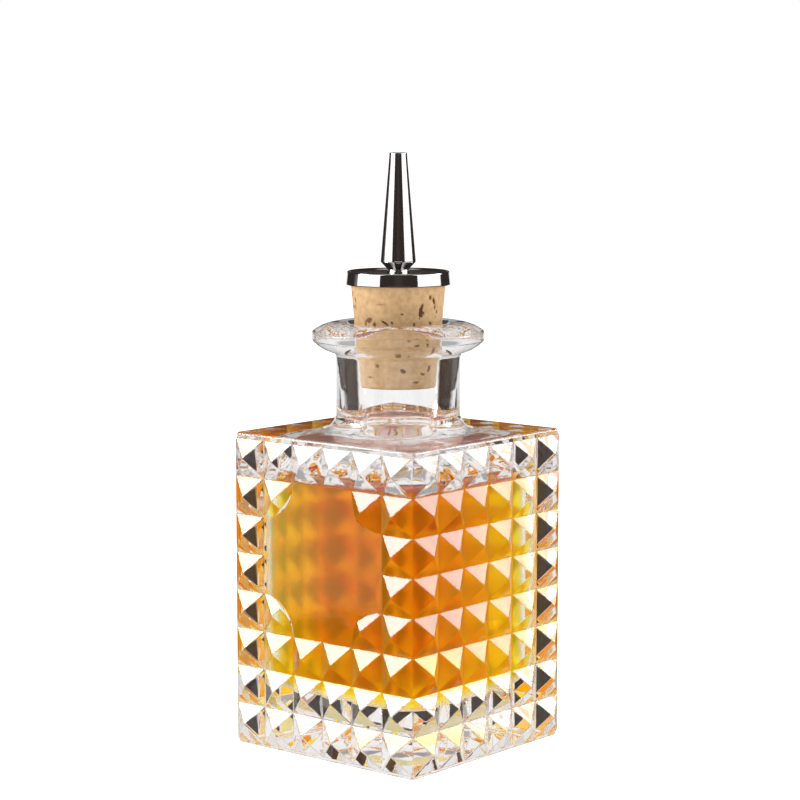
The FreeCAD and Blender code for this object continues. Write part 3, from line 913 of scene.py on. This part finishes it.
# %% Natural cork
COLOUR_A = 6
COLOUR_B = 7
COLOUR_OUT = 2
natural_cork, nodes, links = new_finish("natural_cork")
skin = nodes["Principled BSDF"]
grain = object_noise(nodes, links, scale=700.0, detail=6.0, roughness=0.65)
tone = add_node(nodes, "ShaderNodeValToRGB")
tone.color_ramp.elements[0].position = 0.3
tone.color_ramp.elements[0].color = (0.44, 0.265, 0.12, 1)
tone.color_ramp.elements[1].position = 0.6
tone.color_ramp.elements[1].color = (0.6, 0.385, 0.19, 1)
links.new(grain.outputs["Fac"], tone.inputs["Fac"])
pore = add_node(nodes, "ShaderNodeAttribute", attribute_name="pore")
stain = add_node(nodes, "ShaderNodeValToRGB")
stain.color_ramp.elements[0].position = 0.15
stain.color_ramp.elements[0].color = (0.36, 0.16, 0.05, 1)
stain.color_ramp.elements[1].position = 0.8
stain.color_ramp.elements[1].color = (0.1, 0.036, 0.01, 1)
links.new(pore.outputs["Fac"], stain.inputs["Fac"])
edge = add_node(nodes, "ShaderNodeMapRange")
edge.inputs["From Max"].default_value = 0.5
links.new(pore.outputs["Fac"], edge.inputs["Value"])
brown = add_node(nodes, "ShaderNodeMix", data_type="RGBA")
links.new(edge.outputs["Result"], brown.inputs["Factor"])
links.new(tone.outputs["Color"], brown.inputs[COLOUR_A])
links.new(stain.outputs["Color"], brown.inputs[COLOUR_B])
links.new(brown.outputs[COLOUR_OUT], skin.inputs["Base Color"])
skin.inputs["Roughness"].default_value = 0.75
add_bump(nodes, links, grain.outputs["Fac"], strength=0.35, distance=0.3 * MM)
wear(cork, natural_cork)
print(natural_cork.name, "with", len(nodes), "nodes")

# %% [markdown]
# ## Polished metal
# The dasher is bright metal with a trace of wear: fine noise moves its roughness a little, so reflections
# stay crisp but not perfect. The stem below the cork is the same metal.

# %% Polished metal
polished, nodes, links = new_finish("polished_metal")
skin = nodes["Principled BSDF"]
skin.inputs["Base Color"].default_value = (0.62, 0.61, 0.6, 1)
skin.inputs["Metallic"].default_value = 1.0
polish = object_noise(nodes, links, scale=900.0, detail=4.0)
haze = add_node(nodes, "ShaderNodeMapRange")
haze.inputs["To Min"].default_value = 0.03
haze.inputs["To Max"].default_value = 0.09
links.new(polish.outputs["Fac"], haze.inputs["Value"])
links.new(haze.outputs["Result"], skin.inputs["Roughness"])
add_bump(nodes, links, polish.outputs["Fac"], strength=0.03, distance=0.1 * MM)
for piece in (cap, spout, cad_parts["stem_tube"]):
    wear(piece, polished)
    print(piece.name, "wears", polished.name)

# %% [markdown]
# ## Floor
# The bottle stands on plain pale paper that glows a little, as a light table does. Its glow is kept out of
# the glass and the metal, which are lit by the surround instead.

# %% Pale floor
deselect_all()
FLOOR_SIDE = 8
bpy.ops.mesh.primitive_plane_add(size=FLOOR_SIDE, location=(0, 0, 0))
floor = bpy.context.object
floor.name = "pale_floor"
paper, nodes, links = new_finish("pale_paper")
skin = nodes["Principled BSDF"]
skin.inputs["Base Color"].default_value = (0.9, 0.9, 0.9, 1)
skin.inputs["Roughness"].default_value = 0.9
skin.inputs["Emission Color"].default_value = (1, 1, 1, 1)
skin.inputs["Emission Strength"].default_value = 1.0
wear(floor, paper)
floor.visible_glossy = False
floor.visible_transmission = False
print(floor.name, FLOOR_SIDE, "m wide")

# %% [markdown]
# ## What stands round the bottle
# Clear glass and chrome have no colour of their own: they show what stands round them. So the surround is
# drawn with nodes, as a brightness for each direction. A few helpers turn sums on sockets into short lines,
# such as a soft fade, a soft band, the brightest of several values and a choice between two.


# %% Helpers for the surround
world = bpy.data.worlds.new("studio")
bpy.context.scene.world = world
world.use_nodes = True
nodes, links = world.node_tree.nodes, world.node_tree.links
nodes.clear()


def math_step(operation, first, second=None):
    """A Math node fed by sockets or plain numbers."""
    node = add_node(nodes, "ShaderNodeMath", operation=operation)
    for place, value in enumerate((first, second)):
        if isinstance(value, (int, float)):
            node.inputs[place].default_value = value
        elif value is not None:
            links.new(value, node.inputs[place])
    return node.outputs["Value"]


def fade(value, start, end):
    """From 0 at start to 1 at end, with soft ends."""
    node = add_node(nodes, "ShaderNodeMapRange", interpolation_type="SMOOTHSTEP")
    rising = start < end
    node.inputs["From Min"].default_value = min(start, end)
    node.inputs["From Max"].default_value = max(start, end)
    node.inputs["To Min"].default_value = 0 if rising else 1
    node.inputs["To Max"].default_value = 1 if rising else 0
    links.new(value, node.inputs["Value"])
    return node.outputs["Result"]


def product(*values):
    """All the values multiplied."""
    total = values[0]
    for value in values[1:]:
        total = math_step("MULTIPLY", total, value)
    return total


def brightest(*values):
    """The largest of the values."""
    top = values[0]
    for value in values[1:]:
        top = math_step("MAXIMUM", top, value)
    return top


def between(value, low, high, soft):
    """1 between two limits, fading to 0 outside them."""
    return product(fade(value, low - soft, low + soft), fade(value, high + soft, high - soft))


def more_than(count, limit):
    """0 up to a whole number and 1 beyond it."""
    return fade(count, limit + 0.4, limit + 0.6)


def choose(chance, first, second):
    """The first value where chance is 0 and the second where it is 1."""
    node = add_node(nodes, "ShaderNodeMix", data_type="FLOAT")
    links.new(chance, node.inputs["Factor"])
    links.new(first, node.inputs["A"])
    links.new(second, node.inputs["B"])
    return node.outputs["Result"]


# %% [markdown]
# ## Directions
# Each direction has a rise, from -1 straight down to 1 straight up, and a bearing, measured from straight
# behind the bottle. The folded bearing makes left and right alike, and front and behind alike. The light
# path tells how many walls a ray has passed and how often it was mirrored.

# %% Directions
RAD = math.pi / 180
look = nodes.new("ShaderNodeTexCoord")
turn = add_node(nodes, "ShaderNodeMapping")
turn.inputs["Rotation"].default_value = (0, 0, -CAMERA_BEARING)
links.new(look.outputs["Generated"], turn.inputs["Vector"])
split = nodes.new("ShaderNodeSeparateXYZ")
links.new(turn.outputs["Vector"], split.inputs["Vector"])
rise = split.outputs["Z"]
bearing = math_step("ARCTAN2", split.outputs["X"], split.outputs["Y"])
aside = math_step("ABSOLUTE", bearing)
folded = math_step("ARCSINE", math_step("ABSOLUTE", math_step("SINE", bearing)))
path = nodes.new("ShaderNodeLightPath")
passes = path.outputs["Transmission Depth"]
bounced = more_than(path.outputs["Glossy Depth"], 0)
print(len(nodes), "nodes read the direction and the path")

# %% [markdown]
# ## What the outside mirrors
# Metal and the outside of the glass mirror a white sheet behind and before them, an opening overhead, a pale
# card low at the left and a dark room. The sheet ends just above the horizon, so the flat top of the cap
# stays dark.

# %% What the outside mirrors
SHEET_SIDE = (28 * RAD, 24 * RAD)
SHEET_RISE = (-0.145, 0.045)
SHEET_SOFT = 0.012
OVERHEAD_RISE = (0.85, 0.97)
OVERHEAD_LEVEL = 0.7
CARD_BEARING = (-135 * RAD, -72 * RAD)
CARD_SOFT = 8 * RAD
CARD_FOOT = (-0.212, -0.198)
CARD_TOP = (0.1, 0)
CARD_LEVEL = 0.65
FRONT_BEARING = (168 * RAD, 176 * RAD)
FRONT_LEVEL = 0.02
sheet = product(fade(folded, *SHEET_SIDE), between(rise, *SHEET_RISE, SHEET_SOFT))
overhead = product(fade(rise, *OVERHEAD_RISE), OVERHEAD_LEVEL)
card = product(between(bearing, *CARD_BEARING, CARD_SOFT), fade(rise, *CARD_FOOT), fade(rise, *CARD_TOP))
card = product(card, CARD_LEVEL)
front_glow = product(fade(aside, *FRONT_BEARING), FRONT_LEVEL)
mirrored = brightest(sheet, overhead, card, front_glow)
print("the white sheet ends at a rise of", SHEET_RISE[1])

# %% [markdown]
# ## What shows through clear glass
# Light through the solid glass has passed two walls. It shows a white room over a dark table, with a dark
# rail and a dimmer ceiling. For light that was also mirrored on its way, the table ends lower. Light through
# the neck has passed four walls and shows a plainer, pale view.

# %% What shows through clear glass
ROOM_LEVEL = 0.9
TABLE_SIDE = (68 * RAD, 58 * RAD)
TABLE_RISE = (-0.44, -0.01, 0.03)
TABLE_RISE_MIRRORED = (-0.44, -0.19, 0.02)
TABLE_DARK = 0.9
RAIL_SIDE = (28 * RAD, 16 * RAD)
RAIL_RISE = (0.42, 0.52, 0.02)
RAIL_DARK = 0.6
ROOM_TOP_RISE = (0.64, 0.74)
ROOM_TOP_DARK = 0.5
NECK_FADE = (-0.75, -0.35)
NECK_GAIN = 0.35
NECK_LEVEL = 0.6
table = choose(bounced, between(rise, *TABLE_RISE), between(rise, *TABLE_RISE_MIRRORED))
table = product(table, fade(folded, *TABLE_SIDE), TABLE_DARK)
rail = product(between(rise, *RAIL_RISE), fade(folded, *RAIL_SIDE), RAIL_DARK)
room_top = product(fade(rise, *ROOM_TOP_RISE), ROOM_TOP_DARK)
clear_view = math_step("SUBTRACT", ROOM_LEVEL, brightest(table, rail, room_top))
bore_view = math_step("ADD", product(fade(rise, *NECK_FADE), NECK_GAIN), NECK_LEVEL)
print("the table ends at a rise of", TABLE_RISE[1], "or mirrored", TABLE_RISE_MIRRORED[1])

# %% [markdown]
# ## What shows through the bitters
# Light through the bitters has passed five walls or more. A dark backing behind the bottle deepens the
# amber, and what lies under the bottle is dark as well, so the amber does not glow evenly.

# %% What shows through the bitters
BITTERS_LEVEL = 0.98
BACKING_RISE = (-0.4, 0.14, 0.05)
BACKING_BEARING = (-20 * RAD, 75 * RAD, 5 * RAD)
BACKING_DARK = 0.66
UNDER_SIDE = (60 * RAD, 40 * RAD)
UNDER_RISE = (-0.38, -0.46)
UNDER_DARK = 0.74
STEEP_RISE = (-0.72, -0.86)
STEEP_DARK = 0.9
backing = product(between(rise, *BACKING_RISE), between(bearing, *BACKING_BEARING), BACKING_DARK)
under = product(fade(rise, *UNDER_RISE), fade(folded, *UNDER_SIDE), UNDER_DARK)
steep = product(fade(rise, *STEEP_RISE), STEEP_DARK)
bitters_view = math_step("SUBTRACT", BITTERS_LEVEL, brightest(backing, under, steep))
print("behind the bitters the light falls to", round(BITTERS_LEVEL - BACKING_DARK, 2))

# %% [markdown]
# ## One light for every path
# The views are put together by the number of walls that a ray has passed. What the camera sees past the
# bottle is plain white. Darkness is a warm near-black, because nothing in a studio is quite black.

# %% One light for every path
NEAR_BLACK = (0.045, 0.036, 0.032, 1)
WHITE = (1, 1, 1, 1)
BITTERS_GAIN = 0.25
through_bitters = more_than(passes, 4)
seen_through = choose(more_than(passes, 2), clear_view, bore_view)
seen_through = choose(through_bitters, seen_through, bitters_view)
light = choose(path.outputs["Is Transmission Ray"], mirrored, seen_through)
light = brightest(light, path.outputs["Is Camera Ray"])
shade = add_node(nodes, "ShaderNodeMix", data_type="RGBA")
shade.inputs["A"].default_value = NEAR_BLACK
shade.inputs["B"].default_value = WHITE
links.new(light, shade.inputs["Factor"])
glow = nodes.new("ShaderNodeBackground")
links.new(shade.outputs[COLOUR_OUT], glow.inputs["Color"])
strength = math_step("ADD", product(through_bitters, BITTERS_GAIN), 1)
links.new(strength, glow.inputs["Strength"])
out = nodes.new("ShaderNodeOutputWorld")
links.new(glow.outputs["Background"], out.inputs["Surface"])
print(len(nodes), "nodes in the surround")

# %% [markdown]
# ## Soft boxes
# Two large soft boxes stand at the sides, each with a hot middle. The hot middles whiten the upper facets of
# the points, because those facets lean back just enough to mirror them.


# %% Soft boxes
AIM_HEIGHT = 60 * MM


def soft_box(name, bearing, rise, distance, width, height, glow_level):
    """A soft rectangular light at a bearing from straight behind the bottle, aimed at the bottle."""
    data = bpy.data.lights.new(name, "AREA")
    data.shape = "RECTANGLE"
    data.size, data.size_y = width, height
    data.energy = glow_level * math.pi * width * height
    lamp = bpy.data.objects.new(name, data)
    bpy.context.scene.collection.objects.link(lamp)
    heading = math.radians(bearing) - CAMERA_BEARING
    lift = math.radians(rise)
    level = math.cos(lift)
    toward = Vector((math.sin(heading) * level, math.cos(heading) * level, math.sin(lift)))
    lamp.location = Vector((0, 0, AIM_HEIGHT)) + toward * distance
    lamp.rotation_euler = (-toward).to_track_quat("-Z", "Y").to_euler()
    lamp.visible_camera = False
    lamp.visible_transmission = False
    print(name, "gives", round(data.energy, 2), "W")


soft_box("left_box", bearing=-109, rise=25, distance=0.9, width=1.06, height=0.85, glow_level=1.8)
soft_box("right_box", bearing=104.5, rise=25, distance=0.9, width=1.15, height=0.85, glow_level=1.8)
hot_middle = {"distance": 0.8, "width": 0.26, "height": 0.28}
soft_box("left_hot_middle", bearing=-91.5, rise=29, glow_level=14.5, **hot_middle)
soft_box("right_hot_middle", bearing=74, rise=22.5, glow_level=6.3, **hot_middle)

# %% [markdown]
# ## Light paths
# A ray through the bottle crosses many walls, so it is allowed many bounces before it is dropped. The
# Standard view shows colours as they are, so white stays white, and denoising takes out the last grain.

# %% Light paths
WALLS = 32
MIRRORINGS = 12
scene = bpy.context.scene
scene.view_settings.view_transform = "Standard"
scene.cycles.max_bounces = WALLS
scene.cycles.transmission_bounces = WALLS
scene.cycles.glossy_bounces = MIRRORINGS
scene.cycles.use_denoising = True
print("a ray may cross", WALLS, "walls")

# %% [markdown]
# ## Hang the pieces on their bodies
# The glass and its filling stay with the bottle, the cork slides out of the neck, and the cap and spout turn
# with the stem.

# %% Ride and replace
for piece, body, node, slot in (
    (glass, "bottle", "glass_bottle", "clear_glass"),
    (liquid, "bottle", "bitters_liquid", "amber_liquid"),
    (cork, "cork", "cork_stopper", "natural_cork"),
    (cap, "dasher", "dasher_cap", "polished_metal"),
    (spout, "dasher", "pour_spout", "polished_metal"),
):
    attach(piece, body)
    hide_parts(node)
    print(piece.name, "rides on", body)
